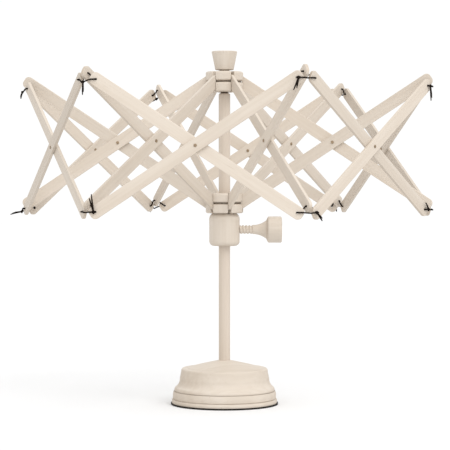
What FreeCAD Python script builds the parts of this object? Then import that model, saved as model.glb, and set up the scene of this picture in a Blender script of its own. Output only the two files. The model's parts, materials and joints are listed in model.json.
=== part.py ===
import FreeCAD, Part
import math
import os

# Umbrella yarn swift. Millimetres, +Z up, origin under the middle of the base.

# ---- arms: where they point and how the lattice stands ----
ARM_COUNT = 6
ARM_STEP = 60.0
FIRST_ARM = -8.4
REST_TILT = 33.3
STEEPEST_TILT = 78.3

# ---- slats ----
SLAT_REACH = 306.5
SLAT_WIDTH = 16.5
SLAT_THICK = 4.0
SLAT_END_FLAT = 4.0
SLAT_SOFT = 0.5
SLAT_HOLE_R = 1.5
FACE_GAP = 0.3

# ---- vertices, where three slats are lashed ----
VERTEX_GAP = 0.4
RIM_DROP = 8.0
CORD_R = 0.95
CORD_GAP = 0.5
CORD_BEND = 1.2
CORD_BACK = 1.7
CORD_LIFT = 2.6
KNOT_R = 2.2
KNOT_SAG = 3.5
TAIL_CURL = 7.0
TAIL_STEPS = 3
TAIL_BEAD_R = 1.05
TAIL_SPREAD = 24.0
SHORT_TAIL = 0.7

# One tie per arm: how far the knot has slipped from the middle towards the outer rim
# slat, then the turn, the outward lean and the length of its long tail.
TOP_TIES = (
    (12.0, 268.0, 4.0, 20.0),
    (11.0, 236.0, 4.0, 9.0),
    (0.0, 330.0, 6.0, 8.0),
    (0.0, 262.0, 14.0, 10.0),
    (-2.5, 276.0, 8.0, 17.0),
    (12.5, 248.0, 12.0, 19.0),
)
LOW_TIES = (
    (-12.0, 123.0, -17.0, 11.0),
    (10.0, 264.0, 5.0, 9.0),
    (8.0, 268.0, 5.0, 10.0),
    (0.0, 270.0, 72.0, 17.0),
    (13.0, 92.0, 8.0, 23.0),
    (9.5, 300.0, 10.0, 12.0),
)

# ---- rivets at the crossings ----
RIVET_R = 1.2
RIVET_HEAD_R = 2.1
RIVET_HEAD = 0.8
RIVET_SOFT = 0.35
RIVET_PLAY = 0.08
RIVET_GAP = 0.2

# ---- hubs and their pivot wires ----
HUB_R = 26.0
HUB_HEIGHT = 28.0
HUB_PIVOT_DEPTH = 3.5
HUB_ROUND = 2.6
HUB_GROOVE = 2.2
HUB_SLOT_SHARE = 0.74
HUB_SOFT = 0.7
UPPER_PIVOT_Z = 448.4
WIRE_R = 0.75
WIRE_SEAT = 0.05

# ---- post ----
POST_R = 8.0
POST_FOOT_Z = 22.0
POST_CHAMFER = 1.4
SPIGOT_R = 4.0
SPIGOT_GRIP = 13.3
RUN_PLAY = 0.08
SHOULDER_DROP = 2.0
WASHER_R = 5.4
WASHER_THICK = 1.7

# ---- ball cup on top ----
CUP_NECK_R = 7.0
CUP_NECK = 2.2
CUP_LOW_R = 12.9
CUP_TOP_R = 17.8
CUP_HEIGHT = 28.0
CUP_WALL = 2.8
CUP_DEPTH = 12.0
CUP_FLOOR_R = 8.5
CUP_ROUND = 1.0
CUP_BOWL_SAG = 1.0

# ---- clamp collar and thumb screw ----
COLLAR_R = 21.2
COLLAR_HEIGHT = 45.2
COLLAR_FOOT_IN = 5.2
COLLAR_FOOT_RISE = 7.4
COLLAR_FOOT_BOW = 1.7
COLLAR_TOP_IN = 4.2
COLLAR_TOP_FALL = 10.5
COLLAR_TOP_BOW = 1.6
PILOT_R = 1.7
THREAD_R = 6.1
THREAD_ROOT_R = 5.0
THREAD_PITCH = 4.5
THREAD_CREST = 1.3
THREAD_FOOT = 3.3
THREAD_PLAY = 0.1
PAD_R = 4.6
PAD_THICK = 2.0
PAD_GAP = 0.1
THREAD_END_X = 39.7
TRUMPET_END_X = 58.4
TRUMPET_NECK_R = 6.4
TRUMPET_END_R = 13.2
TRUMPET_SAG = 1.8
KNOB_R = 18.3
KNOB_NEAR_X = 61.9
KNOB_NEAR_BOW = 0.5
KNOB_END_X = 79.8
KNOB_ROUND = 2.2

# ---- turned base and its foot pad ----
BASE_R = 74.6
FOOT_THICK = 2.2
RING_ONE_INSET = 1.4
RING_ONE_TAPER = 0.8
RING_ONE_BOW = 0.5
RING_ONE_Z = 8.0
RING_TWO_INSET = 3.0
RING_TWO_TAPER = 0.8
RING_TWO_BOW = 0.7
RING_TWO_Z = 18.6
GROOVE_DEPTH = 1.1
GROOVE_WIDTH = 1.1
BULGE_INSET = 5.0
BULGE_TAPER = 1.2
BULGE_BOW = 0.8
BULGE_Z = 24.0
COVE_INSET = 12.4
COVE_Z = 36.0
COVE_SAG = 1.7
SHOULDER_INSET = 14.4
SHOULDER_Z = 47.2
SHOULDER_ROUND = 3.2
LEDGE = 4.8
DOME_STEP = 0.6
DOME_Z = 62.9
DOME_SAG = 0.5
QUARTER_BOW = 0.28

# ---- derived ----
TILT = math.radians(REST_TILT)
LAYER = SLAT_THICK + FACE_GAP
HALF_LAYER = LAYER / 2.0
SLAT_TIP = SLAT_WIDTH / 2.0
SLAT_CORNER = (SLAT_WIDTH - SLAT_END_FLAT) / 2.0
TIP_SWING = SLAT_CORNER + (SLAT_TIP - SLAT_CORNER) * math.sqrt(2.0)
VERTEX_ROOM = HALF_LAYER + SLAT_THICK / 2.0 + VERTEX_GAP - FACE_GAP / 4.0
PIVOT_SETBACK = TIP_SWING + VERTEX_ROOM / math.cos(math.radians(ARM_STEP / 2.0))
HUB_PIVOT_R = HUB_R - HUB_PIVOT_DEPTH
HUB_BORE_R = POST_R + RUN_PLAY
HUB_SLOT_FLOOR = HUB_BORE_R + HUB_SLOT_SHARE * (HUB_PIVOT_R - TIP_SWING - HUB_BORE_R)
END_INSET = 2.0 * PIVOT_SETBACK - HUB_PIVOT_R
SPAN = SLAT_REACH * math.cos(TILT)
RISE = SLAT_REACH * math.sin(TILT)
CORNER_R = SPAN + 2.0 * PIVOT_SETBACK
LOWER_PIVOT_Z = UPPER_PIVOT_Z - RISE
MIDDLE_Z = (UPPER_PIVOT_Z + LOWER_PIVOT_Z) / 2.0
HUB_UNDER_Z = UPPER_PIVOT_Z - HUB_HEIGHT / 2.0
POST_SHOULDER_Z = HUB_UNDER_Z - SHOULDER_DROP
CUP_UNDER_Z = UPPER_PIVOT_Z + HUB_HEIGHT / 2.0 + FACE_GAP
CUP_TOP_Z = CUP_UNDER_Z + CUP_HEIGHT
SPIGOT_TOP_Z = CUP_UNDER_Z + SPIGOT_GRIP
COLLAR_TOP_Z = LOWER_PIVOT_Z - HUB_HEIGHT / 2.0 - FACE_GAP
COLLAR_UNDER_Z = COLLAR_TOP_Z - COLLAR_HEIGHT
SCREW_Z = (COLLAR_TOP_Z + COLLAR_UNDER_Z) / 2.0
PAD_X = POST_R + PAD_GAP
SCREW_TIP_X = PAD_X + PAD_THICK + PAD_GAP

# ---- how closely an edge is matched when it is picked ----
SAME = 0.001
ON_RIM = 0.01

ORIGIN = FreeCAD.Vector(0, 0, 0)
X_AXIS = FreeCAD.Vector(1, 0, 0)
Y_AXIS = FreeCAD.Vector(0, 1, 0)
Z_AXIS = FreeCAD.Vector(0, 0, 1)


def heading(angle):
    """Unit vector in the horizontal plane, angle in degrees from +X."""
    turn = math.radians(angle)
    return FreeCAD.Vector(math.cos(turn), math.sin(turn), 0)


def arm_angle(arm):
    return FIRST_ARM + ARM_STEP * arm


def at(out, along, height, facing):
    """Point at a radius and sideways offset from the post axis."""
    sideways = heading(facing + 90.0)
    return heading(facing) * out + sideways * along + Z_AXIS * height


def revolve(edges):
    """Solid of revolution about Z from a closed profile in the XZ plane."""
    face = Part.Face(Part.Wire(edges))
    solid = face.revolve(ORIGIN, Z_AXIS, 360)
    return solid


def line(a, b):
    start = FreeCAD.Vector(a[0], 0, a[1])
    end = FreeCAD.Vector(b[0], 0, b[1])
    return Part.LineSegment(start, end).toShape()


def bow(a, b, sag):
    """Arc from a to b that leaves the straight line by sag, to its right."""
    run = b[0] - a[0]
    rise = b[1] - a[1]
    length = math.hypot(run, rise)
    middle_x = (a[0] + b[0]) / 2.0 + sag * rise / length
    middle_z = (a[1] + b[1]) / 2.0 - sag * run / length
    start = FreeCAD.Vector(a[0], 0, a[1])
    middle = FreeCAD.Vector(middle_x, 0, middle_z)
    end = FreeCAD.Vector(b[0], 0, b[1])
    return Part.Arc(start, middle, end).toShape()


def circle_edges(solid, radius, height):
    """Circular edges of one radius that lie at one height."""
    found = []
    for edge in solid.Edges:
        box = edge.BoundBox
        flat = box.ZLength < SAME
        if flat and abs(box.ZMax - height) < SAME and abs(box.XMax - radius) < SAME:
            found.append(edge)
    return found


def rounded_cylinder(radius, height, low_round, top_round):
    solid = Part.makeCylinder(radius, height)
    solid = solid.makeFillet(low_round, circle_edges(solid, radius, 0.0))
    solid = solid.makeFillet(top_round, circle_edges(solid, radius, height))
    return solid


# ---- turned base ----

def ring_groove(radius, height):
    outer = Part.makeCylinder(radius + GROOVE_DEPTH, GROOVE_WIDTH)
    inner = Part.makeCone(radius, radius - GROOVE_DEPTH, GROOVE_WIDTH / 2.0)
    upper = Part.makeCone(radius - GROOVE_DEPTH, radius, GROOVE_WIDTH / 2.0)
    upper.translate(Z_AXIS * (GROOVE_WIDTH / 2.0))
    groove = outer.cut(inner.fuse(upper))
    groove.translate(Z_AXIS * (height - GROOVE_WIDTH / 2.0))
    return groove


def base():
    ring_one = BASE_R - RING_ONE_INSET
    ring_two = BASE_R - RING_TWO_INSET
    bulge = BASE_R - BULGE_INSET
    cove = BASE_R - COVE_INSET
    shoulder = BASE_R - SHOULDER_INSET
    top = SHOULDER_Z + SHOULDER_ROUND
    inner = shoulder - SHOULDER_ROUND
    round_bow = SHOULDER_ROUND * QUARTER_BOW
    profile = [
        line((0, FOOT_THICK), (ring_one, FOOT_THICK)),
        bow((ring_one, FOOT_THICK), (ring_one - RING_ONE_TAPER, RING_ONE_Z), RING_ONE_BOW),
        line((ring_one - RING_ONE_TAPER, RING_ONE_Z), (ring_two, RING_ONE_Z)),
        bow((ring_two, RING_ONE_Z), (ring_two - RING_TWO_TAPER, RING_TWO_Z), RING_TWO_BOW),
        line((ring_two - RING_TWO_TAPER, RING_TWO_Z), (bulge, RING_TWO_Z)),
        bow((bulge, RING_TWO_Z), (bulge - BULGE_TAPER, BULGE_Z), BULGE_BOW),
        bow((bulge - BULGE_TAPER, BULGE_Z), (cove, COVE_Z), -COVE_SAG),
        line((cove, COVE_Z), (shoulder, SHOULDER_Z)),
        bow((shoulder, SHOULDER_Z), (inner, top), round_bow),
        line((inner, top), (inner - LEDGE, top)),
        line((inner - LEDGE, top), (inner - LEDGE - DOME_STEP, top + DOME_STEP)),
        bow((inner - LEDGE - DOME_STEP, top + DOME_STEP), (0, DOME_Z), DOME_SAG),
        line((0, DOME_Z), (0, FOOT_THICK)),
    ]
    body = revolve(profile)
    body = body.cut(ring_groove(ring_two, RING_ONE_Z))
    body = body.cut(ring_groove(bulge, RING_TWO_Z))
    socket = Part.makeCylinder(POST_R, DOME_Z, Z_AXIS * POST_FOOT_Z)
    return body.cut(socket)


def foot_pad():
    return Part.makeCylinder(BASE_R, FOOT_THICK)


# ---- post, washer and ball cup ----

def post():
    length = POST_SHOULDER_Z - POST_FOOT_Z
    rod = Part.makeCylinder(POST_R, length)
    rod = rod.makeChamfer(POST_CHAMFER, circle_edges(rod, POST_R, length))
    rod.translate(Z_AXIS * POST_FOOT_Z)
    spigot_length = SPIGOT_TOP_Z - POST_SHOULDER_Z
    spigot = Part.makeCylinder(SPIGOT_R, spigot_length, Z_AXIS * POST_SHOULDER_Z)
    return rod.fuse(spigot).removeSplitter()


def hub_washer():
    disc = Part.makeCylinder(WASHER_R, WASHER_THICK)
    hole = Part.makeCylinder(SPIGOT_R + RUN_PLAY, WASHER_THICK)
    ring = disc.cut(hole)
    ring.translate(Z_AXIS * POST_SHOULDER_Z)
    return ring


def ball_cup():
    low = CUP_UNDER_Z + CUP_NECK
    floor_z = CUP_TOP_Z - CUP_DEPTH
    low_in = CUP_LOW_R - CUP_ROUND
    top_in = CUP_TOP_R - CUP_ROUND
    mouth = CUP_TOP_R - CUP_WALL
    round_bow = CUP_ROUND * QUARTER_BOW
    profile = [
        line((0, CUP_UNDER_Z), (CUP_NECK_R, CUP_UNDER_Z)),
        line((CUP_NECK_R, CUP_UNDER_Z), (CUP_NECK_R, low)),
        line((CUP_NECK_R, low), (low_in, low)),
        bow((low_in, low), (CUP_LOW_R, low + CUP_ROUND), round_bow),
        line((CUP_LOW_R, low + CUP_ROUND), (CUP_TOP_R, CUP_TOP_Z - CUP_ROUND)),
        bow((CUP_TOP_R, CUP_TOP_Z - CUP_ROUND), (top_in, CUP_TOP_Z), round_bow),
        line((top_in, CUP_TOP_Z), (mouth, CUP_TOP_Z)),
        bow((mouth, CUP_TOP_Z), (CUP_FLOOR_R, floor_z), -CUP_BOWL_SAG),
        line((CUP_FLOOR_R, floor_z), (0, floor_z)),
        line((0, floor_z), (0, CUP_UNDER_Z)),
    ]
    cup = revolve(profile)
    socket = Part.makeCylinder(SPIGOT_R, SPIGOT_GRIP, Z_AXIS * CUP_UNDER_Z)
    return cup.cut(socket)


# ---- hubs ----

def bead():
    height = (HUB_HEIGHT - HUB_GROOVE) / 2.0
    return rounded_cylinder(HUB_R, height, HUB_ROUND, HUB_ROUND)


def hub_slot(arm, side):
    """Slot for one slat, on one side of the arm's centre line."""
    width = SLAT_THICK + 2.0 * FACE_GAP
    length = HUB_R
    slot = Part.makeBox(length, width, HUB_HEIGHT)
    slot.translate(FreeCAD.Vector(HUB_SLOT_FLOOR, side * HALF_LAYER - width / 2.0, 0))
    slot.rotate(ORIGIN, Z_AXIS, arm_angle(arm))
    return slot


def block_edges(solid):
    """Upright edges of the blocks between the slots, at the outside."""
    found = []
    for edge in solid.Edges:
        box = edge.BoundBox
        upright = box.XLength < SAME and box.YLength < SAME
        radius = math.hypot(box.XMax, box.YMax)
        if upright and abs(radius - HUB_R) < ON_RIM:
            found.append(edge)
    return found


def hub(bore_r, side, pivot_z):
    seat_r = HUB_PIVOT_R - WIRE_R - WIRE_SEAT
    body = Part.makeCylinder(seat_r, HUB_HEIGHT)
    low_bead = bead()
    top_bead = bead()
    top_bead.translate(Z_AXIS * ((HUB_HEIGHT + HUB_GROOVE) / 2.0))
    body = body.fuse([low_bead, top_bead]).removeSplitter()
    for arm in range(ARM_COUNT):
        body = body.cut(hub_slot(arm, side))
    body = body.makeFillet(HUB_SOFT, block_edges(body))
    body = body.cut(Part.makeCylinder(bore_r, HUB_HEIGHT))
    body.translate(Z_AXIS * (pivot_z - HUB_HEIGHT / 2.0))
    return body


def hub_wire(pivot_z):
    return Part.makeTorus(HUB_PIVOT_R, WIRE_R, Z_AXIS * pivot_z)


# ---- collar, pad and thumb screw ----

def collar_blank():
    foot_r = COLLAR_R - COLLAR_FOOT_IN
    top_r = COLLAR_R - COLLAR_TOP_IN
    brow = COLLAR_HEIGHT - COLLAR_TOP_FALL
    return revolve([
        line((0, 0), (foot_r, 0)),
        bow((foot_r, 0), (COLLAR_R, COLLAR_FOOT_RISE), COLLAR_FOOT_BOW),
        line((COLLAR_R, COLLAR_FOOT_RISE), (COLLAR_R, brow)),
        bow((COLLAR_R, brow), (top_r, COLLAR_HEIGHT), COLLAR_TOP_BOW),
        line((top_r, COLLAR_HEIGHT), (0, COLLAR_HEIGHT)),
        line((0, COLLAR_HEIGHT), (0, 0)),
    ])


def clamp_collar():
    """Collar with its bore, the thread's hole and the pilot of that hole behind."""
    body = collar_blank()
    body = body.cut(Part.makeCylinder(POST_R + RUN_PLAY, COLLAR_HEIGHT))
    middle = Z_AXIS * (COLLAR_HEIGHT / 2.0)
    side_hole = Part.makeCylinder(THREAD_R + THREAD_PLAY, COLLAR_R, middle, X_AXIS)
    pilot = Part.makeCylinder(PILOT_R, COLLAR_R, middle, X_AXIS * -1.0)
    body = body.cut([side_hole, pilot])
    body.translate(Z_AXIS * COLLAR_UNDER_Z)
    return body


def clamp_pad():
    start = X_AXIS * PAD_X + Z_AXIS * SCREW_Z
    return Part.makeCylinder(PAD_R, PAD_THICK, start, X_AXIS)


def thread_points():
    """Profile of the threaded shank, from the tip to the end of the thread."""
    points = [(0.0, SCREW_TIP_X), (THREAD_ROOT_R, SCREW_TIP_X)]
    turns = int((THREAD_END_X - SCREW_TIP_X) / THREAD_PITCH)
    first = THREAD_END_X - turns * THREAD_PITCH
    for turn in range(turns):
        middle = first + (turn + 0.5) * THREAD_PITCH
        points.append((THREAD_ROOT_R, middle - THREAD_FOOT / 2.0))
        points.append((THREAD_R, middle - THREAD_CREST / 2.0))
        points.append((THREAD_R, middle + THREAD_CREST / 2.0))
        points.append((THREAD_ROOT_R, middle + THREAD_FOOT / 2.0))
    points.append((THREAD_ROOT_R, THREAD_END_X))
    points.append((TRUMPET_NECK_R, THREAD_END_X))
    return points


def thumb_screw():
    points = thread_points()
    edges = []
    for index in range(len(points) - 1):
        edges.append(line(points[index], points[index + 1]))
    end_r = KNOB_R - KNOB_ROUND
    far = KNOB_END_X - KNOB_ROUND
    edges.append(bow((TRUMPET_NECK_R, THREAD_END_X), (TRUMPET_END_R, TRUMPET_END_X), -TRUMPET_SAG))
    edges.append(bow((TRUMPET_END_R, TRUMPET_END_X), (KNOB_R, KNOB_NEAR_X), KNOB_NEAR_BOW))
    edges.append(line((KNOB_R, KNOB_NEAR_X), (KNOB_R, far)))
    edges.append(bow((KNOB_R, far), (end_r, KNOB_END_X), KNOB_ROUND * QUARTER_BOW))
    edges.append(line((end_r, KNOB_END_X), (0.0, KNOB_END_X)))
    edges.append(line((0.0, KNOB_END_X), (0.0, SCREW_TIP_X)))
    screw = revolve(edges)
    screw.rotate(ORIGIN, Y_AXIS, 90)
    screw.translate(Z_AXIS * SCREW_Z)
    return screw


# ---- slats ----

def slat_outline():
    half = SLAT_WIDTH / 2.0
    low = -SLAT_TIP
    high = SLAT_REACH + SLAT_TIP
    box = Part.makeBox(high - low, SLAT_THICK, SLAT_WIDTH)
    box.translate(FreeCAD.Vector(low, -SLAT_THICK / 2.0, -half))
    corners = []
    for edge in box.Edges:
        span = edge.BoundBox
        if span.XLength < SAME and span.ZLength < SAME:
            corners.append(edge)
    return box.makeFillet(SLAT_CORNER, corners)


def face_edges(solid):
    """Edges around the two broad faces."""
    found = []
    for edge in solid.Edges:
        if edge.BoundBox.YLength < SAME:
            found.append(edge)
    return found


def slat_blank():
    """One slat along X from its first pivot, width upright, holes drilled."""
    body = slat_outline()
    body = body.makeFillet(SLAT_SOFT, face_edges(body))
    start = Y_AXIS * -SLAT_THICK
    depth = 2.0 * SLAT_THICK
    first = Part.makeCylinder(SLAT_HOLE_R, depth, start, Y_AXIS)
    last = Part.makeCylinder(SLAT_HOLE_R, depth, start + X_AXIS * SLAT_REACH, Y_AXIS)
    rivet_hole = RIVET_R + RIVET_PLAY
    middle_start = start + X_AXIS * (SLAT_REACH / 2.0)
    middle = Part.makeCylinder(rivet_hole, depth, middle_start, Y_AXIS)
    return body.cut([first, last, middle])


def placed_slat(blank, start, facing, climb):
    """Copy of the blank from a start pivot, facing and climbing by degrees."""
    turn = FreeCAD.Rotation(Z_AXIS, facing).multiply(FreeCAD.Rotation(Y_AXIS, -climb))
    body = blank.copy()
    body.Placement = FreeCAD.Placement(start, turn)
    return body


def radial_slat(blank, arm, from_top):
    facing = arm_angle(arm)
    if from_top:
        start = at(HUB_PIVOT_R, HALF_LAYER, UPPER_PIVOT_Z, facing)
        return placed_slat(blank, start, facing, -REST_TILT)
    start = at(HUB_PIVOT_R, -HALF_LAYER, LOWER_PIVOT_Z, facing)
    return placed_slat(blank, start, facing, REST_TILT)


def rim_slat(blank, arm, from_top):
    """Slat along the rim from one arm's corner to the next."""
    facing = arm_angle(arm) + 2.0 * ARM_STEP
    outward = heading(arm_angle(arm) + ARM_STEP / 2.0)
    corner = heading(arm_angle(arm)) * CORNER_R + heading(facing) * PIVOT_SETBACK
    if from_top:
        start = corner - outward * HALF_LAYER + Z_AXIS * (UPPER_PIVOT_Z - RIM_DROP)
        return placed_slat(blank, start, facing, -REST_TILT)
    start = corner + outward * HALF_LAYER + Z_AXIS * (LOWER_PIVOT_Z - RIM_DROP)
    return placed_slat(blank, start, facing, REST_TILT)


# ---- rivets ----

def rivet(centre, axis):
    """Rivet with one head tight on the +axis slat and play under the other."""
    near = LAYER / 2.0 + SLAT_THICK / 2.0
    far = near + RIVET_GAP
    shank = Part.makeCylinder(RIVET_R, near + far, Z_AXIS * -far)
    top_head = Part.makeCylinder(RIVET_HEAD_R, RIVET_HEAD)
    top_head = top_head.makeFillet(RIVET_SOFT, circle_edges(top_head, RIVET_HEAD_R, RIVET_HEAD))
    low_head = top_head.copy()
    low_head.rotate(ORIGIN, X_AXIS, 180)
    low_head.translate(Z_AXIS * -far)
    top_head.translate(Z_AXIS * near)
    body = shank.fuse([top_head, low_head]).removeSplitter()
    body.Placement = FreeCAD.Placement(centre, FreeCAD.Rotation(Z_AXIS, axis))
    return body


def radial_rivet(arm):
    facing = arm_angle(arm)
    centre = at(HUB_PIVOT_R + SPAN / 2.0, 0.0, MIDDLE_Z, facing)
    return rivet(centre, heading(facing + 90.0))


def rim_rivet(arm):
    outward = heading(arm_angle(arm) + ARM_STEP / 2.0)
    apothem = CORNER_R * math.cos(math.radians(ARM_STEP / 2.0))
    return rivet(outward * apothem + Z_AXIS * (MIDDLE_Z - RIM_DROP), outward)


# ---- lashings at the vertices ----

def spot(out, along, fall):
    return FreeCAD.Vector(out, along, -fall)


def beyond_tips(left_tip, right_tip):
    """How far out the strand crosses the arm's own slat, clear of it at every tilt."""
    room = CORD_R + CORD_GAP
    swing = TIP_SWING + room
    under = math.sqrt(max(swing * swing - RIM_DROP * RIM_DROP, 0.0))
    steep = math.radians(STEEPEST_TILT)
    beside = (SLAT_WIDTH / 2.0 + room - RIM_DROP * math.cos(steep)) / math.sin(steep)
    share = (-HALF_LAYER - left_tip.y) / (right_tip.y - left_tip.y)
    straight = left_tip.x + (right_tip.x - left_tip.x) * share
    return max(under - END_INSET, beside - END_INSET, straight)


def knot_place(strand, slip):
    """Place on the outer strand, the slip counting from its middle point to its end."""
    reach = slip
    for index in range(len(strand) // 2):
        reach += (strand[index + 1] - strand[index]).Length
    index = 0
    run = strand[1] - strand[0]
    while reach > run.Length + SAME and index < len(strand) - 2:
        reach -= run.Length
        index += 1
        run = strand[index + 1] - strand[index]
    return strand[index] + run * (reach / run.Length)


def lashing_route():
    """Corners of the loop around one top vertex, in the arm's own frame.

    X points out along the arm and Y sideways. The outer strand comes first, round
    the slats' tips; then the loop goes in through the outer rim slat, through the
    arm's slat, and out through the inner rim slat.
    """
    left_out = heading(-ARM_STEP / 2.0)
    right_out = heading(ARM_STEP / 2.0)
    hang = Z_AXIS * -RIM_DROP
    left_pivot = heading(ARM_STEP) * -PIVOT_SETBACK + left_out * HALF_LAYER + hang
    right_pivot = heading(-ARM_STEP) * -PIVOT_SETBACK - right_out * HALF_LAYER + hang
    off = SLAT_THICK / 2.0 + CORD_R + CORD_GAP
    arm_left = -HALF_LAYER - SLAT_THICK / 2.0
    arm_right = -HALF_LAYER + SLAT_THICK / 2.0
    left_face = left_pivot + left_out * off
    left_tip = left_face + heading(ARM_STEP) * TIP_SWING
    right_face = right_pivot + right_out * off
    right_tip = right_face + heading(-ARM_STEP) * TIP_SWING
    middle = spot(beyond_tips(left_tip, right_tip), -HALF_LAYER, RIM_DROP + KNOT_SAG)
    strand = [right_face, right_tip, middle, left_tip, left_face]
    inside = [
        left_pivot - left_out * (off + CORD_R),
        spot(-END_INSET, arm_left - 2.0 * CORD_R - CORD_GAP, 0.0),
        spot(-END_INSET, arm_right + CORD_R + FACE_GAP, 0.0),
        spot(-END_INSET - CORD_BACK, arm_right + CORD_LIFT, RIM_DROP / 3.0),
        right_pivot - right_out * (off + FACE_GAP),
    ]
    return strand, inside


def straight_cord(start, end):
    run = end - start
    return Part.makeCylinder(CORD_R, run.Length, start, run)


def bent_cord(start, direction, centre, axis, angle):
    """Cord turned about an axis through the bend's centre."""
    ring = Part.Face(Part.Wire(Part.makeCircle(CORD_R, start, direction)))
    return ring.revolve(centre, axis, angle)


def cord_loop(points, bend):
    """Straight and bent pieces of a closed loop through the points."""
    pieces = []
    count = len(points)
    starts = []
    ends = []
    for index in range(count):
        corner = points[index]
        back = (points[index - 1] - corner).normalize()
        ahead = (points[(index + 1) % count] - corner).normalize()
        half = back.getAngle(ahead) / 2.0
        trim = bend / math.tan(half)
        start = corner + back * trim
        centre = corner + (back + ahead).normalize() * (bend / math.sin(half))
        axis = ahead.cross(back).normalize()
        turn = 180.0 - math.degrees(2.0 * half)
        pieces.append(bent_cord(start, back * -1.0, centre, axis, turn))
        starts.append(start)
        ends.append(corner + ahead * trim)
    for index in range(count):
        pieces.append(straight_cord(ends[index - 1], starts[index]))
    return pieces


def tail(knot, turn, lean, length):
    """Loose end leaving the knot, leaning out and curling a little."""
    swing = heading(turn)
    sideways = FreeCAD.Vector(0, swing.x, swing.y)
    pieces = []
    start = knot
    for step in range(TAIL_STEPS):
        out = math.radians(lean + TAIL_CURL * step)
        direction = sideways * math.cos(out) + X_AXIS * math.sin(out)
        end = start + direction * (length / TAIL_STEPS)
        pieces.append(straight_cord(start, end))
        pieces.append(Part.makeSphere(TAIL_BEAD_R, end))
        start = end
    return pieces


def mirror(point):
    return FreeCAD.Vector(point.x, -point.y, point.z)


def lashing(arm, height, mirrored, tie):
    slip, turn, lean, length = tie
    strand, inside = lashing_route()
    lift = X_AXIS * ((KNOT_R - CORD_R) / math.cos(math.radians(ARM_STEP / 2.0)))
    knot = knot_place(strand, slip) + lift
    route = strand + inside
    if mirrored:
        route = [mirror(point) for point in route]
        knot = mirror(knot)
    body = Part.makeSphere(KNOT_R, knot).fuse(cord_loop(route, CORD_BEND))
    for piece in tail(knot, turn, lean, length):
        body = body.fuse(piece)
    for piece in tail(knot, turn + TAIL_SPREAD, lean + TAIL_SPREAD, length * SHORT_TAIL):
        body = body.fuse(piece)
    body.rotate(ORIGIN, Z_AXIS, arm_angle(arm))
    body.translate(heading(arm_angle(arm)) * CORNER_R + Z_AXIS * height)
    return body


# ---- writing ----

def save(name, shape):
    shape.exportStep("parts/" + name + ".step")


def save_fixed_parts():
    save("base", base())
    save("foot_pad", foot_pad())
    save("post", post())
    save("hub_washer", hub_washer())
    save("ball_cup", ball_cup())
    save("upper_hub", hub(SPIGOT_R + RUN_PLAY, 1, UPPER_PIVOT_Z))
    save("upper_wire", hub_wire(UPPER_PIVOT_Z))
    save("lower_hub", hub(HUB_BORE_R, -1, LOWER_PIVOT_Z))
    save("lower_wire", hub_wire(LOWER_PIVOT_Z))
    save("clamp_collar", clamp_collar())
    save("clamp_pad", clamp_pad())
    save("thumb_screw", thumb_screw())


def save_arm(blank, arm):
    number = str(arm + 1)
    save("arm_upper_" + number, radial_slat(blank, arm, True))
    save("arm_lower_" + number, radial_slat(blank, arm, False))
    save("rim_outer_" + number, rim_slat(blank, arm, False))
    save("rim_inner_" + number, rim_slat(blank, arm, True))
    save("arm_rivet_" + number, radial_rivet(arm))
    save("rim_rivet_" + number, rim_rivet(arm))
    save("top_lashing_" + number, lashing(arm, UPPER_PIVOT_Z, False, TOP_TIES[arm]))
    save("low_lashing_" + number, lashing(arm, LOWER_PIVOT_Z, True, LOW_TIES[arm]))


def main():
    os.makedirs("parts", exist_ok=True)
    save_fixed_parts()
    blank = slat_blank()
    for arm in range(ARM_COUNT):
        save_arm(blank, arm)


main()
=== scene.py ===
"""Umbrella yarn swift: finishes, cords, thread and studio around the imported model."""

import json
import logging
import math
from dataclasses import dataclass, field
from enum import Enum
from typing import Any, Iterable, Optional, Sequence, Union

import bpy
import numpy as np
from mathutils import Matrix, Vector


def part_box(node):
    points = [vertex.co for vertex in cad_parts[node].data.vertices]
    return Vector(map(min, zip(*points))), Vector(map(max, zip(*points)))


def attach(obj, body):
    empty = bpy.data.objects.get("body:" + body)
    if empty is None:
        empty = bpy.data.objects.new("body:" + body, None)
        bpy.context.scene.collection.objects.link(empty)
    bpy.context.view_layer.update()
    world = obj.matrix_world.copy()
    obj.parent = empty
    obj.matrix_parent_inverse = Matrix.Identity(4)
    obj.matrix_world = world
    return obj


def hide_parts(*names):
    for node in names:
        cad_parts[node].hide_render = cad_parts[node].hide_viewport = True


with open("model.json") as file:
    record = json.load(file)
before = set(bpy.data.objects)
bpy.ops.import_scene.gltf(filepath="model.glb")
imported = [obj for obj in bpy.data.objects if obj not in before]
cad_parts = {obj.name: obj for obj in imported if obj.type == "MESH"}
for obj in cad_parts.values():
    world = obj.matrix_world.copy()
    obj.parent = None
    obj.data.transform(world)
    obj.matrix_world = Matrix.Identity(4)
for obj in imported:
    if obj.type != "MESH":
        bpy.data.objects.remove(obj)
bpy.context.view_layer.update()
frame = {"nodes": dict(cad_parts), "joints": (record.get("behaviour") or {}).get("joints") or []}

log = logging.getLogger("swift")

Colour = tuple[float, float, float]
Triple = tuple[float, float, float]
Number = Union[int, float]
Shell = tuple[np.ndarray, list[tuple[int, ...]]]

ARMS = 6
X_AXIS: Triple = (1.0, 0.0, 0.0)
Y_AXIS: Triple = (0.0, 1.0, 0.0)
Z_AXIS: Triple = (0.0, 0.0, 1.0)
HALF_ARM_STEP = math.radians(30.0)
FIRST_SIDE: Triple = (0.31, 0.17, 0.93)
STRANDS = 3
STRAND_OFF = 0.46
STRAND_THICK = 0.54


# ---------------------------------------------------------------- shader maths


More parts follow.
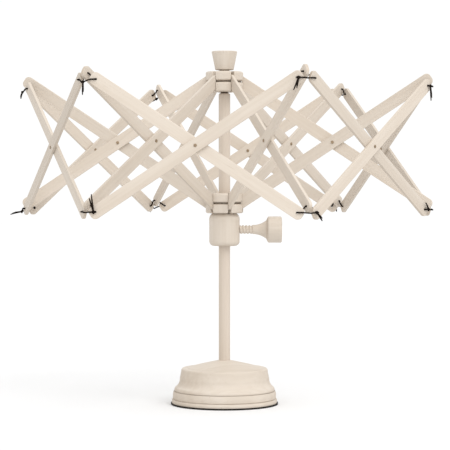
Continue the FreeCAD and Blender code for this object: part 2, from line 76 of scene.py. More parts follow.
class Field:
    """One value that varies over a surface, with Python arithmetic."""

    def __init__(self, shader: "Shader", socket: bpy.types.NodeSocket) -> None:
        """Keep the socket and the shader that owns it."""
        self.shader = shader
        self.socket = socket

    def _join(self, operation: str, first: "Scalar", second: "Scalar") -> "Field":
        """Add one Math node.

        Args:
            operation: the Math node's operation.
            first: left-hand value.
            second: right-hand value.

        Returns:
            The node's result.
        """
        made = self.shader.node("ShaderNodeMath", {"operation": operation}, {0: first, 1: second})
        return Field(self.shader, made.outputs[0])

    def __add__(self, other: "Scalar") -> "Field":
        """Sum."""
        return self._join("ADD", self, other)

    def __radd__(self, other: "Scalar") -> "Field":
        """Sum, reflected."""
        return self._join("ADD", other, self)

    def __sub__(self, other: "Scalar") -> "Field":
        """Difference."""
        return self._join("SUBTRACT", self, other)

    def __rsub__(self, other: "Scalar") -> "Field":
        """Difference, reflected."""
        return self._join("SUBTRACT", other, self)

    def __mul__(self, other: "Scalar") -> "Field":
        """Product."""
        return self._join("MULTIPLY", self, other)

    def __rmul__(self, other: "Scalar") -> "Field":
        """Product, reflected."""
        return self._join("MULTIPLY", other, self)

    def __abs__(self) -> "Field":
        """Absolute value."""
        return self._join("ABSOLUTE", self, 0.0)

    def between(self, low: float, high: float) -> "Field":
        """Smooth step.

        Args:
            low: value that gives 0.
            high: value that gives 1.

        Returns:
            A field from 0 to 1.
        """
        made = self.shader.node(
            "ShaderNodeMapRange",
            {"interpolation_type": "SMOOTHSTEP", "clamp": True},
            {"Value": self, "From Min": low, "From Max": high},
        )
        return Field(self.shader, made.outputs["Result"])


Scalar = Union[Field, Number]
Feed = Union[Field, Number, Sequence[float], bpy.types.NodeSocket]


class Shader:
    """The node tree of one material."""

    def __init__(self, name: str) -> None:
        """Start an empty material with a principled shader wired to its output.

        Args:
            name: the material's name.
        """
        self.material = bpy.data.materials.new(name)
        self.material.use_nodes = True
        self.tree = self.material.node_tree
        self.tree.nodes.clear()
        self.body = self.node("ShaderNodeBsdfPrincipled", {}, {})
        self.node("ShaderNodeOutputMaterial", {}, {"Surface": self.body.outputs["BSDF"]})

    def node(
        self, kind: str, settings: dict[str, Any], sockets: dict[Union[str, int], Feed]
    ) -> bpy.types.Node:
        """Add any node.

        Args:
            kind: the node's type name.
            settings: attributes that are set before the sockets.
            sockets: a value or a link for each input.

        Returns:
            The new node.
        """
        made = self.tree.nodes.new(kind)
        for name, value in settings.items():
            setattr(made, name, value)
        for key, value in sockets.items():
            target = made.inputs[key]
            if isinstance(value, Field):
                self.tree.links.new(value.socket, target)
            elif isinstance(value, bpy.types.NodeSocket):
                self.tree.links.new(value, target)
            else:
                target.default_value = value
        return made

    def place(self) -> bpy.types.NodeSocket:
        """Place on the piece itself, so that the pattern moves with it."""
        return self.node("ShaderNodeTexCoord", {}, {}).outputs["Object"]

    def facing(self) -> bpy.types.NodeSocket:
        """Surface normal in the piece's own frame."""
        return self.node("ShaderNodeTexCoord", {}, {}).outputs["Normal"]

    def measure(self, vector: bpy.types.NodeSocket, axis: Triple) -> Field:
        """Length of a vector along one axis."""
        made = self.node("ShaderNodeVectorMath", {"operation": "DOT_PRODUCT"}, {0: vector, 1: axis})
        return Field(self, made.outputs["Value"])

    def vector(self, x: Scalar, y: Scalar, z: Scalar) -> bpy.types.NodeSocket:
        """Vector from three values."""
        return self.node("ShaderNodeCombineXYZ", {}, {0: x, 1: y, 2: z}).outputs[0]

    def noise(
        self, vector: bpy.types.NodeSocket, scale: float, detail: float = 3.0, rough: float = 0.5
    ) -> Field:
        """Noise from 0 to 1.

        Args:
            vector: where to read it.
            scale: cells per unit.
            detail: octaves.
            rough: strength of the fine octaves.

        Returns:
            The noise.
        """
        made = self.node(
            "ShaderNodeTexNoise",
            {"noise_dimensions": "3D"},
            {"Vector": vector, "Scale": scale, "Detail": detail, "Roughness": rough},
        )
        return Field(self, made.outputs[0])

    def mix(self, amount: Scalar, first: Feed, second: Feed) -> bpy.types.NodeSocket:
        """Mix two colours.

        Args:
            amount: 0 gives the first, 1 the second.
            first: a colour or a colour link.
            second: a colour or a colour link.

        Returns:
            The mixed colour.
        """
        made = self.node(
            "ShaderNodeMix",
            {"data_type": "RGBA", "blend_type": "MIX", "clamp_factor": True},
            {0: amount, 6: full(first), 7: full(second)},
        )
        return made.outputs[2]

    def bump(self, height: Field, distance: float, strength: float = 1.0) -> None:
        """Raise the surface by a height field.

        Args:
            height: height from 0 to 1.
            distance: metres between 0 and 1.
            strength: share of the effect.
        """
        made = self.node(
            "ShaderNodeBump", {}, {"Height": height, "Distance": distance, "Strength": strength}
        )
        self.tree.links.new(made.outputs["Normal"], self.body.inputs["Normal"])

    def set(self, **values: Feed) -> None:
        """Set sockets of the principled shader, underscores standing for spaces."""
        for name, value in values.items():
            target = self.body.inputs[name.replace("_", " ")]
            if isinstance(value, Field):
                self.tree.links.new(value.socket, target)
            elif isinstance(value, bpy.types.NodeSocket):
                self.tree.links.new(value, target)
            else:
                target.default_value = value


def full(colour: Feed) -> Feed:
    """Give a plain colour its fourth value; pass a link through."""
    if isinstance(colour, tuple) and len(colour) == 3:
        return (*colour, 1.0)
    return colour


# -------------------------------------------------------------------- finishes


@dataclass(frozen=True)
class Finish:
    """What every finish has: a way to make its material."""

    def make(self, name: str) -> bpy.types.Material:
        """Make the material under a name."""
        raise NotImplementedError


@dataclass(frozen=True)
class Timber(Finish):
    """Pale close-grained wood with faint streaks, pores and handling marks.

    The grain runs along one axis of the piece; a turned piece also has fine
    rings about its turning axis.
    """

    along: Triple = X_AXIS
    across: Triple = Z_AXIS
    pale: Colour = (0.625, 0.556, 0.478)
    warm: Colour = (0.555, 0.480, 0.398)
    pore: Colour = (0.40, 0.31, 0.23)
    end: Colour = (0.47, 0.385, 0.30)
    worn: Colour = (0.52, 0.445, 0.365)
    shift: float = 0.0
    streaks: float = 150.0
    stretch: float = 5.0
    contrast: float = 0.75
    turned_about: Optional[Triple] = None
    turned_centre: Triple = (0.0, 0.0, 0.0)
    polish: float = 0.47

    def _grain_place(self, shader: Shader) -> tuple[Field, Field, Field]:
        """Distances along the grain, across it, and through the thickness."""
        where = shader.place()
        third = tuple(Vector(self.along).cross(Vector(self.across)))
        along = shader.measure(where, self.along) + self.shift
        across = shader.measure(where, self.across) + self.shift * 0.37
        through = shader.measure(where, third) + self.shift * 0.73
        return along, across, through

    def _turning(self, shader: Shader) -> Field:
        """Fine rings left by the lathe."""
        where = shader.place()
        height = shader.measure(where, self.turned_about)
        centred = shader.node(
            "ShaderNodeVectorMath", {"operation": "SUBTRACT"}, {0: where, 1: self.turned_centre}
        ).outputs[0]
        crossed = shader.node(
            "ShaderNodeVectorMath", {"operation": "CROSS_PRODUCT"}, {0: centred, 1: self.turned_about}
        ).outputs[0]
        reach = Field(
            shader,
            shader.node("ShaderNodeVectorMath", {"operation": "LENGTH"}, {0: crossed}).outputs["Value"],
        )
        rings = shader.noise(shader.vector(height * 900.0 + reach * 700.0, reach * 40.0, 0.0), 1.0, 2.0)
        return rings

    def make(self, name: str) -> bpy.types.Material:
        """Make the wood.

        Args:
            name: the material's name.

        Returns:
            The material.
        """
        shader = Shader(name)
        along, across, through = self._grain_place(shader)
        drift = shader.noise(shader.vector(along * 6.0, across * 9.0, through * 9.0), 1.0, 2.0)
        bent = across + (drift - 0.5) * 0.010
        broad = shader.noise(
            shader.vector(along * self.stretch * 0.5, bent * self.streaks * 0.35, through * 30.0), 1.0, 2.0
        )
        fine = shader.noise(
            shader.vector(along * self.stretch * 2.4, bent * self.streaks * 2.0, through * 170.0),
            1.0,
            3.0,
            0.5,
        )
        grain = (broad * 0.6 + fine * 0.4).between(0.34, 0.68) * self.contrast
        pores = shader.noise(
            shader.vector(along * 40.0, bent * 620.0, through * 420.0), 1.0, 1.0
        ).between(0.66, 0.82)
        handled = shader.noise(shader.place(), 9.0, 4.0, 0.62).between(0.52, 0.85)
        facing = abs(shader.measure(shader.facing(), self.along)).between(0.55, 0.98)
        wood = shader.mix(grain, self.pale, self.warm)
        wood = shader.mix(pores * 0.30, wood, self.pore)
        wood = shader.mix(handled * 0.30, wood, self.worn)
        wood = shader.mix(facing * (0.25 + fine * 0.5), wood, self.end)
        height = fine * 0.6 - pores * 0.2
        if self.turned_about is not None:
            rings = self._turning(shader)
            wood = shader.mix((rings.between(0.55, 0.8)) * 0.16, wood, self.worn)
            height = height + rings * 0.8
        shader.set(
            Base_Color=wood,
            Roughness=self.polish + fine * 0.16 + handled * 0.08,
            Specular_IOR_Level=0.32,
        )
        shader.bump(height, 0.00018, 0.55)
        return shader.material


@dataclass(frozen=True)
class Rubber(Finish):
    """Matt dark pad with a pebbled face."""

    colour: Colour = (0.013, 0.0095, 0.008)
    dust: Colour = (0.040, 0.033, 0.029)

    def make(self, name: str) -> bpy.types.Material:
        """Make the pad's material."""
        shader = Shader(name)
        where = shader.place()
        pebble = shader.noise(where, 900.0, 2.0)
        dusty = shader.noise(where, 40.0, 4.0, 0.65).between(0.5, 0.8)
        shader.set(
            Base_Color=shader.mix(dusty * 0.35, self.colour, self.dust),
            Roughness=0.72 + pebble * 0.2,
            Specular_IOR_Level=0.25,
        )
        shader.bump(pebble, 0.0002, 0.6)
        return shader.material


@dataclass(frozen=True)
class Metal(Finish):
    """Dull metal with rubbed highs and tarnish in the lows."""

    bright: Colour = (0.36, 0.27, 0.18)
    tarnish: Colour = (0.12, 0.085, 0.055)
    rough: float = 0.42
    metal: float = 0.9

    def make(self, name: str) -> bpy.types.Material:
        """Make the metal."""
        shader = Shader(name)
        where = shader.place()
        stain = shader.noise(where, 420.0, 4.0, 0.6).between(0.42, 0.72)
        scratch = shader.noise(where, 2600.0, 2.0)
        shader.set(
            Base_Color=shader.mix(stain * 0.7, self.bright, self.tarnish),
            Metallic=self.metal - stain * 0.25,
            Roughness=self.rough + stain * 0.25 + scratch * 0.1,
        )
        shader.bump(scratch, 0.00005, 0.5)
        return shader.material


@dataclass(frozen=True)
class WaxedCord(Finish):
    """Black waxed thread: fine fibres, a soft sheen and paler rubbed spots."""

    colour: Colour = (0.0085, 0.0048, 0.0032)
    rubbed: Colour = (0.028, 0.0175, 0.0115)

    def make(self, name: str) -> bpy.types.Material:
        """Make the cord's material."""
        shader = Shader(name)
        where = shader.place()
        fibre = shader.noise(where, 3200.0, 3.0, 0.6)
        wax = shader.noise(where, 260.0, 3.0).between(0.45, 0.75)
        shader.set(
            Base_Color=shader.mix(wax * 0.5, self.colour, self.rubbed),
            Roughness=0.62 + fibre * 0.3,
            Specular_IOR_Level=0.10,
        )
        shader.bump(fibre, 0.0001, 0.7)
        return shader.material


@dataclass(frozen=True)
class SoftPad(Finish):
    """Felt or leather: matted fibres over a mottled ground."""

    colour: Colour = (0.30, 0.27, 0.24)
    deep: Colour = (0.17, 0.15, 0.13)

    def make(self, name: str) -> bpy.types.Material:
        """Make the soft material."""
        shader = Shader(name)
        where = shader.place()
        fibre = shader.noise(where, 1900.0, 4.0, 0.7)
        patch = shader.noise(where, 300.0, 3.0).between(0.4, 0.7)
        shader.set(
            Base_Color=shader.mix(patch * 0.6, self.colour, self.deep),
            Roughness=0.85 + fibre * 0.1,
            Sheen_Weight=0.3,
        )
        shader.bump(fibre, 0.0003, 0.8)
        return shader.material


# -------------------------------------------------------------- frame and mesh


class Lie(Enum):
    """Where a slat lies in the lattice."""

    UPPER_ARM = "arm_upper"
    LOWER_ARM = "arm_lower"
    OUTER_RIM = "rim_outer"
    INNER_RIM = "rim_inner"


def pivot(name: str) -> Vector:
    """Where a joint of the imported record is, at rest."""
    for joint in frame["joints"]:
        if joint["name"] == name:
            return Vector(joint["pos_m"])
    raise ValueError(f"no joint {name}")


def hinge_axis(name: str) -> Vector:
    """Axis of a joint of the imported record."""
    for joint in frame["joints"]:
        if joint["name"] == name:
            return Vector(joint["axis"])
    raise ValueError(f"no joint {name}")


def dress(node: str, material: bpy.types.Material) -> None:
    """Give a CAD node its finish."""
    piece = frame["nodes"][node]
    if not piece.material_slots:
        piece.data.materials.append(material)
    for place in piece.material_slots:
        place.material = material
    log.info("dressed %s with %s", node, material.name)


def mesh_piece(
    name: str, points: np.ndarray, faces: list[tuple[int, ...]], material: bpy.types.Material
) -> bpy.types.Object:
    """Make a smooth mesh object.

    Args:
        name: the piece's name.
        points: vertices in metres.
        faces: index tuples.
        material: its finish.

    Returns:
        The object, linked to the scene.
    """
    mesh = bpy.data.meshes.new(name)
    mesh.from_pydata([tuple(p) for p in points], [], faces)
    mesh.validate()
    mesh.polygons.foreach_set("use_smooth", [True] * len(mesh.polygons))
    mesh.materials.append(material)
    made = bpy.data.objects.new(name, mesh)
    bpy.context.scene.collection.objects.link(made)
    log.info("built %s with %d faces", name, len(mesh.polygons))
    return made


def smooth_line(points: Sequence[Vector], steps: int = 10) -> np.ndarray:
    """Points along a smooth curve guided by control points.

    Args:
        points: control points, the first and last on the curve.
        steps: samples between control points.

    Returns:
        Points in order, in metres.
    """
    data = bpy.data.curves.new("guide", "CURVE")
    data.dimensions = "3D"
    data.resolution_u = steps
    spline = data.splines.new("NURBS")
    spline.points.add(len(points) - 1)
    for place, point in zip(spline.points, points):
        place.co = (*point, 1.0)
    spline.order_u = 3
    spline.use_endpoint_u = True
    guide = bpy.data.objects.new("guide", data)
    bpy.context.scene.collection.objects.link(guide)
    bpy.context.view_layer.update()
    read = bpy.data.meshes.new_from_object(guide.evaluated_get(bpy.context.evaluated_depsgraph_get()))
    line = np.array([v.co[:] for v in read.vertices])
    bpy.data.meshes.remove(read)
    bpy.data.objects.remove(guide)
    bpy.data.curves.remove(data)
    return line


def carried_frames(line: np.ndarray) -> tuple[np.ndarray, np.ndarray]:
    """Two steady side directions along a line.

    Args:
        line: points in order.

    Returns:
        First sides and second sides, one row per point.
    """
    tangents = np.gradient(line, axis=0)
    tangents /= np.linalg.norm(tangents, axis=1)[:, None]
    side = np.cross(tangents[0], FIRST_SIDE)
    side /= np.linalg.norm(side)
    sides = [side]
    for tangent in tangents[1:]:
        side = side - tangent * np.dot(side, tangent)
        side = side / np.linalg.norm(side)
        sides.append(side)
    first = np.array(sides)
    return first, np.cross(tangents, first)


def tube(line: np.ndarray, radii: np.ndarray, sides: int = 8) -> Shell:
    """Closed round tube along a line.

    Args:
        line: centre points.
        radii: one radius per point.
        sides: corners of the section.

    Returns:
        Vertices and faces.
    """
    first, second = carried_frames(line)
    turns = np.linspace(0.0, 2.0 * math.pi, sides, endpoint=False)
    level, rise = np.cos(turns)[None, :, None], np.sin(turns)[None, :, None]
    ring = first[:, None, :] * level + second[:, None, :] * rise
    points = (line[:, None, :] + ring * radii[:, None, None]).reshape(-1, 3)
    faces: list[tuple[int, ...]] = []
    for row in range(len(line) - 1):
        for column in range(sides):
            after = (column + 1) % sides
            here, above = row * sides, (row + 1) * sides
            faces.append((here + column, here + after, above + after, above + column))
    faces.append(tuple(range(sides - 1, -1, -1)))
    last = (len(line) - 1) * sides
    faces.append(tuple(range(last, last + sides)))
    return points, faces


def laid_strands(
    line: np.ndarray, radius: float, lay: float, taper: Optional[np.ndarray] = None, phase: float = 0.0
) -> list[Shell]:
    """Three strands twisted round each other along a line.

    Args:
        line: centre points.
        radius: outer radius of the laid cord.
        lay: length of one full twist.
        taper: share of the radius at each point.
        phase: starting turn in radians.

    Returns:
        Vertices and faces of each strand.
    """
    share = np.ones(len(line)) if taper is None else taper
    gone = np.concatenate([[0.0], np.cumsum(np.linalg.norm(np.diff(line, axis=0), axis=1))])
    first, second = carried_frames(line)
    made = []
    for strand in range(STRANDS):
        turn = gone / lay * 2.0 * math.pi + phase + strand * 2.0 * math.pi / STRANDS
        off = first * np.cos(turn)[:, None] + second * np.sin(turn)[:, None]
        centre = line + off * (radius * STRAND_OFF * share)[:, None]
        made.append(tube(centre, radius * STRAND_THICK * share))
    return made


def joined(parts: Iterable[Shell]) -> Shell:
    """Put several vertex and face lists together."""
    points: list[np.ndarray] = []
    faces: list[tuple[int, ...]] = []
    base = 0
    for part_points, part_faces in parts:
        points.append(part_points)
        faces.extend(tuple(index + base for index in face) for face in part_faces)
        base += len(part_points)
    return np.concatenate(points), faces


# -------------------------------------------------------------- sub-assemblies


@dataclass
class Stand:
    """Turned base, foot pad, post, washer and ball cup."""

    grain: Triple = (0.94, 0.34, 0.0)

    def dress(self) -> None:
        """Finish the fixed pieces."""
        up = Z_AXIS
        flat_across: Triple = (-self.grain[1], self.grain[0], 0.0)
        base = Timber(along=self.grain, across=flat_across, streaks=95.0, stretch=3.5, turned_about=up)
        post = Timber(
            along=up,
            across=X_AXIS,
            shift=1.7,
            pale=(0.60, 0.52, 0.44),
            warm=(0.53, 0.45, 0.37),
            streaks=190.0,
        )
        cup = Timber(along=up, across=X_AXIS, shift=3.1, streaks=120.0, turned_about=up)
        dress("base", base.make("turned_base_wood"))
        dress("post", post.make("dowel_wood"))
        dress("ball_cup", cup.make("turned_cup_wood"))
        dress("foot_pad", Rubber().make("foot_rubber"))
        # The washer is a real spacer, but its dark brown is partly painted shade: it stands in for the
        # shadow under the upper hub.
        washer_and_painted_shade = SoftPad(colour=(0.10, 0.06, 0.04), deep=(0.04, 0.025, 0.02))
        dress("hub_washer", washer_and_painted_shade.make("washer_leather_painted_shade"))


@dataclass
class Hubs:
    """Upper and lower slotted hubs with the wires that the arms turn on."""

    wire: Metal = field(
        default_factory=lambda: Metal(bright=(0.34, 0.29, 0.24), tarnish=(0.10, 0.07, 0.05), rough=0.42)
    )

    def dress(self) -> None:
        """Finish both hubs and both wires."""
        wire = self.wire.make("hub_wire_metal")
        for index, level in enumerate(("upper", "lower")):
            wood = Timber(along=Z_AXIS, across=Y_AXIS, shift=5.3 + index, streaks=130.0, turned_about=Z_AXIS)
            dress(f"{level}_hub", wood.make(f"{level}_hub_wood"))
            dress(f"{level}_wire", wire)


@dataclass
class Lattice:
    """The twenty-four slats and their rivets."""

    rivet: Metal = field(default_factory=Metal)

    def slat_grain(self, lie: Lie, arm: int) -> tuple[Vector, Vector]:
        """Directions along and across one slat.

        Args:
            lie: which of the four kinds.
            arm: arm number, from 1.

        Returns:
            Unit vectors along the slat and across its broad face.
        """
        hub_name = "umbrella_fold" if arm == 1 else f"upper_arm_hinge_{arm}"
        fall = (pivot(f"low_tie_hinge_{arm}") - pivot(hub_name)).normalized()
        tilt = math.asin(-fall.z)
        out = Vector((fall.x, fall.y, 0.0)).normalized()
        if lie in (Lie.OUTER_RIM, Lie.INNER_RIM):
            normal = hinge_axis(f"outer_rim_hinge_{arm}")
            out = Vector(Z_AXIS).cross(normal)
        climb = tilt if lie in (Lie.LOWER_ARM, Lie.OUTER_RIM) else -tilt
        along = out * math.cos(climb) + Vector(Z_AXIS) * math.sin(climb)
        across = Vector(Z_AXIS) * math.cos(climb) - out * math.sin(climb)
        return along.normalized(), across.normalized()

    def dress(self) -> None:
        """Finish every slat with its own cut of wood, and every rivet."""
        metal = self.rivet.make("rivet_brass")
        for order, lie in enumerate(Lie):
            for arm in range(1, ARMS + 1):
                along, across = self.slat_grain(lie, arm)
                tone = 0.97 + 0.06 * math.sin(2.1 * arm + 1.3 * order)
                wood = Timber(
                    along=tuple(along),
                    across=tuple(across),
                    shift=0.61 * arm + 3.7 * order,
                    pale=(0.635 * tone, 0.563 * tone, 0.482 * tone),
                    warm=(0.565 * tone, 0.487 * tone, 0.402 * tone),
                )
                dress(f"{lie.value}_{arm}", wood.make(f"{lie.value}_{arm}_wood"))
        for arm in range(1, ARMS + 1):
            dress(f"arm_rivet_{arm}", metal)
            dress(f"rim_rivet_{arm}", metal)


@dataclass
class Clamp:
    """Clamp collar, its pad, and the thumb screw with a cut wooden thread."""

    pitch: float = 0.0045
    thread_r: float = 0.0061
    root_r: float = 0.0049
    thread_end: float = 0.0397
    neck_r: float = 0.0064
    trumpet_end: float = 0.0584
    trumpet_end_r: float = 0.0132
    trumpet_sag: float = 0.0018
    knob_near: float = 0.0619
    knob_round: float = 0.0022
    near_bow: float = 0.85
    crest_bow: float = 0.8
    crest_fill: float = 1.15
    run_out: float = 0.35
    around: int = 72

    def _trumpet(self, x: float) -> float:
        """Radius of the flare, an arc from the neck to the knob's near edge."""
        run, rise = self.trumpet_end - self.thread_end, self.trumpet_end_r - self.neck_r
        chord = math.hypot(run, rise)
        radius = (chord * chord / 4.0 + self.trumpet_sag**2) / (2.0 * self.trumpet_sag)
        middle = (self.thread_end + run / 2.0, self.neck_r + rise / 2.0)
        lift = radius - self.trumpet_sag
        centre = (middle[0] - rise / chord * lift, middle[1] + run / chord * lift)
        return centre[1] - math.sqrt(max(radius * radius - (x - centre[0]) ** 2, 0.0))

    def _radius(self, x: float, turn: float, knob_r: float, end: float) -> float:
        """Radius of the screw at a distance from the post and a turn.

        Args:
            x: distance from the post's axis.
            turn: angle about the screw's axis.
            knob_r: radius of the knob.
            end: where the knob ends.

        Returns:
            The radius in metres.
        """
        if x < self.thread_end:
            place = (x / self.pitch - turn / (2.0 * math.pi)) % 1.0
            ridge = 0.5 - 0.5 * math.cos(2.0 * math.pi * place)
            fade = min(1.0, max(0.0, (self.thread_end - x) / (self.run_out * self.pitch)))
            full_depth = min(1.0, ridge**self.crest_bow * self.crest_fill)
            crest = self.root_r + (self.thread_r - self.root_r) * full_depth
            return crest * fade + self.neck_r * (1.0 - fade)
        if x < self.trumpet_end:
            return self._trumpet(x)
        if x < self.knob_near:
            share = (x - self.trumpet_end) / (self.knob_near - self.trumpet_end)
            swell = math.sin(share * math.pi / 2.0) ** self.near_bow
            return self.trumpet_end_r + (knob_r - self.trumpet_end_r) * swell
        left = end - x
        if left >= self.knob_round:
            return knob_r
        return knob_r - self.knob_round + math.sqrt(self.knob_round**2 - (self.knob_round - left) ** 2)

    def screw(self) -> bpy.types.Object:
        """Build the thumb screw from the CAD node's own box.

        Returns:
            The new piece, which stands for the CAD screw.
        """
        low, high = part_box("thumb_screw")
        centre_z = (low.z + high.z) / 2.0
        knob_r, end = (high.z - low.z) / 2.0, high.x
        stations = list(np.arange(low.x, self.thread_end, self.pitch / 14.0))
        stations += list(np.linspace(self.thread_end, self.trumpet_end, 26))[:-1]
        stations += list(np.linspace(self.trumpet_end, self.knob_near, 9))
        bend = self.knob_round * (1.0 - np.cos(np.linspace(0.0, math.pi / 2.0, 7)))
        stations += list((end - bend)[::-1])
        turns = np.linspace(0.0, 2.0 * math.pi, self.around, endpoint=False)
        points = [
            (x, math.cos(t) * r, centre_z + math.sin(t) * r)
            for x in stations
            for t in turns
            for r in [self._radius(x, t, knob_r, end)]
        ]
        faces: list[tuple[int, ...]] = []
        for row in range(len(stations) - 1):
            for column in range(self.around):
                after = (column + 1) % self.around
                here, above = row * self.around, (row + 1) * self.around
                faces.append((here + column, here + after, above + after, above + column))
        ends = [(low.x, 0.0, centre_z), (end, 0.0, centre_z)]
        points += ends
        first, last = len(points) - 2, len(points) - 1
        top = (len(stations) - 1) * self.around
        for column in range(self.around):
            after = (column + 1) % self.around
            faces.append((first, after, column))
            faces.append((last, top + column, top + after))
        wood = Timber(
            along=X_AXIS,
            across=Z_AXIS,
            shift=8.9,
            streaks=130.0,
            turned_about=X_AXIS,
            turned_centre=(0.0, 0.0, centre_z),
        ).make("thumb_screw_wood")
        made = mesh_piece("wooden_thumb_screw", np.array(points), faces, wood)
        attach(made, "screw")
        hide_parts("thumb_screw")
        return made

    def dress(self) -> None:
        """Finish the collar and its pad, and build the screw."""
        collar = Timber(along=Z_AXIS, across=X_AXIS, shift=7.7, streaks=120.0, turned_about=Z_AXIS)
        dress("clamp_collar", collar.make("collar_wood"))
        dress("clamp_pad", SoftPad().make("pad_felt"))
        self.screw()


@dataclass(frozen=True)
class Knot:
    """Where one tie's knot sits and how its ends hang."""

    slip: float
    turn: float
    lean: float
    length: float
    curl: float = 0.10


@dataclass
class Lashings:
    """Black cord ties at the twelve vertices."""

    slat_thick: float = 0.004
    tip_swing: float = 0.00908
    cord_r: float = 0.0011
    gap: float = 0.0004
    sag: float = 0.0045
    taut_sag: float = 0.0008
    steepest: float = 78.3
    slat_half: float = 0.00825
    spare: float = 0.0009
    ease: float = 0.0015
    lay: float = 0.0052
    knot_r: float = 0.0022
    knot_ease: float = 0.0002
    knot_reach: float = 2.4
    knot_fill: float = 0.9
    hole_gap: float = 0.0003
    hole_back: float = 0.0017
    hole_lift: float = 0.0026
    second: float = 0.8
    spread: float = 10.0
    top: tuple[Knot, ...] = (
        Knot(0.0120, 268.0, 2.0, 0.0205, 0.02),
        Knot(0.0110, 236.0, 4.0, 0.009),
        Knot(0.0, 330.0, 6.0, 0.008),
        Knot(0.0, 262.0, 10.0, 0.0095, 0.12),
        Knot(-0.0025, 276.0, 8.0, 0.0170, 0.04),
        Knot(0.0125, 241.0, 12.0, 0.0190, 0.08),
    )
    low: tuple[Knot, ...] = (
        Knot(-0.0120, 123.0, -17.0, 0.011, 0.0),
        Knot(0.0100, 264.0, 5.0, 0.0085),
        Knot(0.0080, 268.0, 5.0, 0.010),
        Knot(0.0, 270.0, 72.0, 0.017),
        Knot(0.0130, 92.0, 8.0, 0.023, 0.0),
        Knot(0.0095, 300.0, 10.0, 0.0125),
    )

    def _corners(self, arm: int, sag: float) -> tuple[list[Vector], list[Vector], float]:
        """Corners of one top loop, in the arm's own frame.

        Args:
            arm: arm number, from 1.
            sag: how far the outer strand hangs below its ends.

        Returns:
            The outer strand, the inside run, and how far out the corner is.
        """
        low, top = pivot(f"low_tie_hinge_{arm}"), pivot(f"top_tie_hinge_{arm}")
        inner = pivot(f"inner_rim_hinge_{arm}")
        side = hinge_axis(f"top_tie_hinge_{arm}")
        out = side.cross(Vector(Z_AXIS))
        half = (low - top).dot(side) / 2.0
        step = inner - top
        cosine, sine = math.cos(HALF_ARM_STEP), math.sin(HALF_ARM_STEP)
        setback = self._setback(step, side, half)
        inset = step.dot(out) + sine * setback + cosine * half
        corner = top.dot(out) + inset
        drop = -step.z
        left_out, right_out = Vector((cosine, -sine, 0.0)), Vector((cosine, sine, 0.0))
        left_run, right_run = Vector((sine, cosine, 0.0)), Vector((sine, -cosine, 0.0))
        hang = Vector((0.0, 0.0, -drop))
        left = left_run * -setback + left_out * half + hang
        right = right_run * -setback - right_out * half + hang
        face = self.slat_thick / 2.0
        off = face + self.cord_r + self.gap
        left_face, right_face = left + left_out * off, right + right_out * off
        left_tip = left_face + left_run * self.tip_swing
        right_tip = right_face + right_run * self.tip_swing
        room = self.cord_r + self.gap
        under = math.sqrt(max((self.tip_swing + room) ** 2 - drop * drop, 0.0)) - inset
        steep = math.radians(self.steepest)
        clear = self.slat_half + room + self.spare
        beside = (clear - drop * math.cos(steep)) / math.sin(steep) - inset
        share = (-half - left_tip.y) / (right_tip.y - left_tip.y)
        straight = left_tip.x + (right_tip.x - left_tip.x) * share
        middle = Vector((max(under, beside, straight), -half, -drop - sag))
        inside = [
            left - left_out * (off + self.cord_r),
            Vector((-inset, -half - face - 2.0 * self.cord_r - self.gap, 0.0)),
            Vector((-inset, -half + face + self.cord_r + self.hole_gap, 0.0)),
            Vector((-inset - self.hole_back, -half + face + self.hole_lift, -drop / 3.0)),
            right - right_out * (off + self.hole_gap),
        ]
        return [right_face, right_tip, middle, left_tip, left_face], inside, corner

    @staticmethod
    def _setback(step: Vector, side: Vector, half: float) -> float:
        """How far the rim pivots are from the corner, along the rim."""
        cosine, sine = math.cos(HALF_ARM_STEP), math.sin(HALF_ARM_STEP)
        return (step.dot(side) - half + sine * half) / cosine

    def _loop(self, strand: list[Vector], inside: list[Vector]) -> np.ndarray:
        """Centre line of the closed loop, slack outside and turning sharply at the holes.

        Args:
            strand: corners of the outer strand.
            inside: corners of the run through the slats.

        Returns:
            Points in order.
        """
        ring = strand[2:] + inside + strand[:2] + [strand[2]]
        soft = {0, 1, len(ring) - 2, len(ring) - 1}
        guide: list[Vector] = []
        for index, point in enumerate(ring):
            if index in soft:
                guide.append(point)
                continue
            back = (ring[index - 1] - point).normalized()
            ahead = (ring[index + 1] - point).normalized()
            guide += [point + back * self.ease, point, point + ahead * self.ease]
        return smooth_line(guide, 10)

    def _place(self, strand: list[Vector], slip: float) -> Vector:
        """Place on the outer strand, counted from its middle point."""
        reach = slip + sum((strand[i + 1] - strand[i]).length for i in range(2))
        for start, end in zip(strand, strand[1:]):
            run = end - start
            if reach <= run.length:
                return start + run * (reach / run.length)
            reach -= run.length
        return strand[-1]

    def _knot(self, centre: Vector) -> Shell:
        """Small overhand knot pulled tight.

        Args:
            centre: its middle in the arm's frame.

        Returns:
            Vertices and faces.
        """
        turn = np.linspace(0.0, 2.0 * math.pi, 90)
        size = (self.knot_r + self.knot_ease - self.cord_r) / self.knot_reach * self.knot_fill
        line = np.stack(
            [
                np.sin(3.0 * turn) * size,
                (np.sin(turn) + 2.0 * np.sin(2.0 * turn)) * size,
                (np.cos(turn) - 2.0 * np.cos(2.0 * turn)) * size,
            ],
            axis=1,
        )
        return joined(laid_strands(line + np.array(centre), self.cord_r, self.lay * 0.8))

